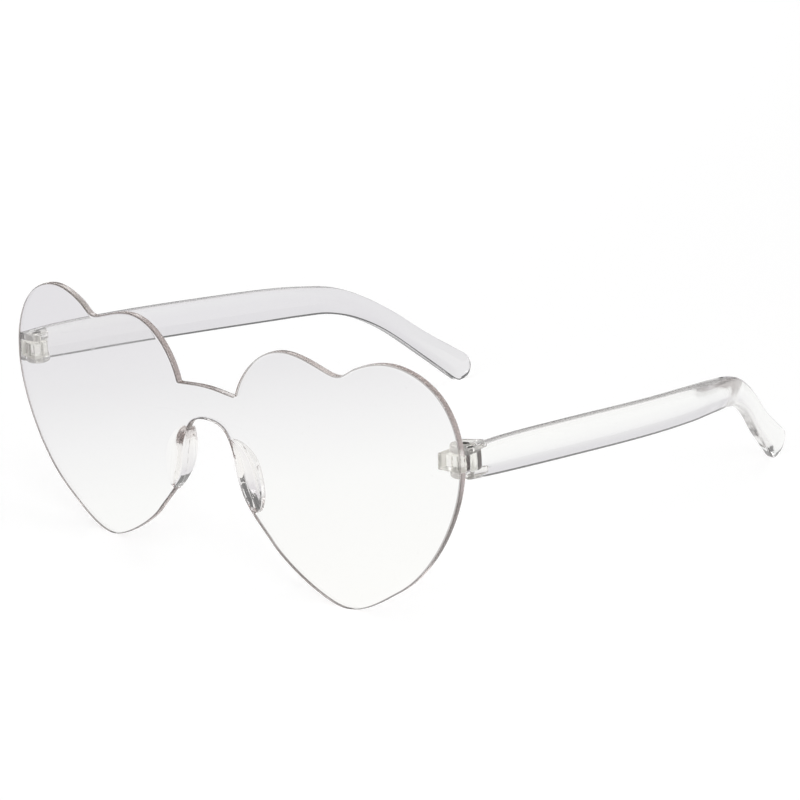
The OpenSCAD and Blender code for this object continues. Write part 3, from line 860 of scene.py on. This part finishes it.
front_ring = bar_rows[0]
middle = front_ring.mean(0)
drawn_in = middle + (front_ring - middle) * [0.70, 1, 0.92]
softened = middle + (front_ring - middle) * [0.91, 1, 0.975] + [0, 0.09, 0]
bar_rows[0] += [0, 0.35, 0]
bar_rows = np.concatenate([[drawn_in, softened], bar_rows])

root = BAR_IN + KNUCKLE_ROOT
knuckle_line = rounded(arc(KNUCKLE_R, HEEL_TURN, 350, 44)
                       + [(root, 0.3, 0), (root, heel_end, 0), (BAR_IN, heel_end, HEEL_R)])
upper = bored_block(knuckle_line, slot_top, fork_top, FORK_EDGE,
                    [(fork_top, HEAD_R + 0.03), (head_seat, HEAD_R + 0.03),
                     (head_seat, BORE_R), (slot_top, BORE_R)])
lower = bored_block(knuckle_line, fork_low, slot_low, FORK_EDGE,
                    [(slot_low, BORE_R), (fork_low, BORE_R)])
slot_r = LUG_R + FORK_GAP
slot_line = rounded([(-slot_r, -WALL_FRONT - 1, 0), (slot_r, -WALL_FRONT - 1, 0)]
                    + arc(slot_r, 0, 180, 40))
slot_block = np.stack([np.insert(slot_line, 2, z, axis=1)
                       for z in (slot_low + SKIN, slot_top - SKIN)])
slot_block += [SCREW_X, SCREW_Y, 0]


def combine(name, steps):
    """Runs exact booleans on closed meshes, from the first on: each step is an
    operation and a mesh. The result is closed again."""
    parts = []
    for k, (_, mesh) in enumerate(steps):
        made = bpy.data.objects.new(f"{name}_part_{k}", mesh)
        scene.collection.objects.link(made)
        parts.append(made)
    for (operation, _), other in zip(steps[1:], parts[1:]):
        change = parts[0].modifiers.new("change", "BOOLEAN")
        change.operation, change.solver, change.object = operation, "EXACT", other
    bpy.context.view_layer.update()
    shown = parts[0].evaluated_get(bpy.context.evaluated_depsgraph_get())
    mesh = bpy.data.meshes.new_from_object(shown)
    mesh.name = name
    for made in parts:
        bpy.data.objects.remove(made)
    close(mesh)
    return mesh


def mark_raw(mesh):
    """The inside of the fork stays as moulded, inwards from the bar's inner face."""
    places = np.empty(3 * len(mesh.vertices))
    mesh.vertices.foreach_get("co", places)
    x, y, _ = (places.reshape(-1, 3) / MM).T
    inner = (np.abs(x) < SCREW_X + BAR_IN - 0.05) & (y < SCREW_Y + heel_end + 0.4)
    made = mesh.attributes.get("raw") or mesh.attributes.new("raw", "FLOAT", "POINT")
    # Where the raw value steps from 0 to 1 across a face, the finish paints a band of dark shade.
    made.data.foreach_set("value", inner.astype(np.float32))
    return mesh


for side, mirrored in SIDES:
    steps = [("", body_mesh("bar", [capped(bar_rows)], mirrored)),
             ("DIFFERENCE", body_mesh("slot", [capped(slot_block)], mirrored)),
             ("UNION", body_mesh("knuckle_upper", [(upper, 1.0, -1.0, True, True)], mirrored)),
             ("UNION", body_mesh("knuckle_lower", [(lower, 1.0, -1.0, True, True)], mirrored))]
    piece(f"temple_{side}", mark_raw(combine(f"temple_{side}", steps)), f"temple_{side}_body",
          f"temple_{side}", temple_finish)

# %% [markdown]
# ## Hinge screws
#
# A screw is turned from steel: a flat slotted head and a fine thread almost up to it.
# It is a revolved profile, and the thread is a triangle wave that climbs one pitch
# per turn.

# %% Screw
SHANK_R, PITCH, THREAD = 0.6, 0.35, 0.11
ROUND = 48                          # points in a turn
BLADE = (3.2, 0.34, 0.6)            # the cutter of the driver slot
screw_low, thread_top = fork_low + FORK_PLAY, head_seat - 0.3


def screw_grid():
    """Rows down the screw, columns round it. In the threaded part the radius drops by
    the thread depth times a triangle wave of height over pitch plus turn."""
    turn = np.linspace(0, 2 * np.pi, ROUND, endpoint=False)
    head = np.array([[0.0, HEAD_H], [0.6, HEAD_H], [0.93, HEAD_H - 0.02], [1.06, HEAD_H - 0.05],
                     [1.16, HEAD_H - 0.12], [HEAD_R, HEAD_H - 0.2], [HEAD_R, 0.05], [1.16, 0.0],
                     [SHANK_R + 0.04, 0.0], [SHANK_R, -0.05]])
    heights = np.concatenate([np.linspace(head_seat - 0.1, thread_top, 4),
                              np.linspace(thread_top, screw_low, 190)[1:]])
    wave = np.abs(2 * ((heights[:, None] / PITCH + turn / (2 * np.pi)) % 1) - 1)
    fade = np.clip((thread_top - heights) / 0.3, 0, 1)[:, None]
    radius = np.concatenate([np.broadcast_to(head[:, :1], (len(head), ROUND)),
                             SHANK_R - THREAD * fade * wave,
                             np.full((1, ROUND), 0.45), np.zeros((1, ROUND))])
    z = np.concatenate([head_seat + head[:, 1], heights, [screw_low - 0.05] * 2])
    return np.stack([SCREW_X + radius * np.cos(turn), SCREW_Y + radius * np.sin(turn),
                     np.broadcast_to(z[:, None], radius.shape)], -1)


def driver_slot(mesh, mirrored):
    """Cuts a straight slot half as deep as the head across the top of a screw."""
    x = -SCREW_X if mirrored else SCREW_X
    size = np.array(BLADE)
    low = np.array([x - size[0] / 2, SCREW_Y - size[1] / 2, head_seat + HEAD_H / 2])
    corners = low + size * np.array([[a, b, c] for a in (0, 1) for b in (0, 1) for c in (0, 1)])
    blade = bpy.data.meshes.new("blade")
    blade.from_pydata((corners * MM).tolist(), [], [(0, 1, 3, 2), (4, 6, 7, 5), (0, 4, 5, 1),
                                                    (2, 3, 7, 6), (0, 2, 6, 4), (1, 5, 7, 3)])
    return combine(mesh.name, [("", mesh), ("DIFFERENCE", blade)])


steel = bpy.data.materials.new("screw_steel")
steel.use_nodes = True
tree = steel.node_tree
tree.nodes.clear()
place = add(tree, "ShaderNodeTexCoord").outputs["Object"]
turned = add(tree, "ShaderNodeMapping", Vector=place, Scale=(600.0, 600.0, 9000.0))
tool = add(tree, "ShaderNodeTexNoise", Vector=turned.outputs[0], Scale=1.0, Detail=3.0)
stain = add(tree, "ShaderNodeTexNoise", Vector=place, Scale=1500.0, Detail=4.0)
colour = ramp(tree, stain.outputs[0], [(0.0, (0.06, 0.05, 0.045)), (0.45, (0.13, 0.12, 0.11)),
                                       (1.0, (0.34, 0.32, 0.30))])
rough = add(tree, "ShaderNodeMapRange", Value=tool.outputs[0], To_Min=0.25, To_Max=0.5).outputs[0]
lines = add(tree, "ShaderNodeBump", Strength=0.3, Distance=0.00002, Height=tool.outputs[0])
metal = add(tree, "ShaderNodeBsdfPrincipled", Base_Color=colour, Metallic=1.0, Roughness=rough,
            Normal=lines.outputs[0])
add(tree, "ShaderNodeOutputMaterial", Surface=metal.outputs[0])

for side, mirrored in SIDES:
    blank = body_mesh(f"hinge_screw_{side}", [(screw_grid(), 0.0, -1.0, False, True)], mirrored)
    piece(f"hinge_screw_{side}", driver_slot(blank, mirrored), f"temple_{side}_body",
          f"hinge_screw_{side}", steel)
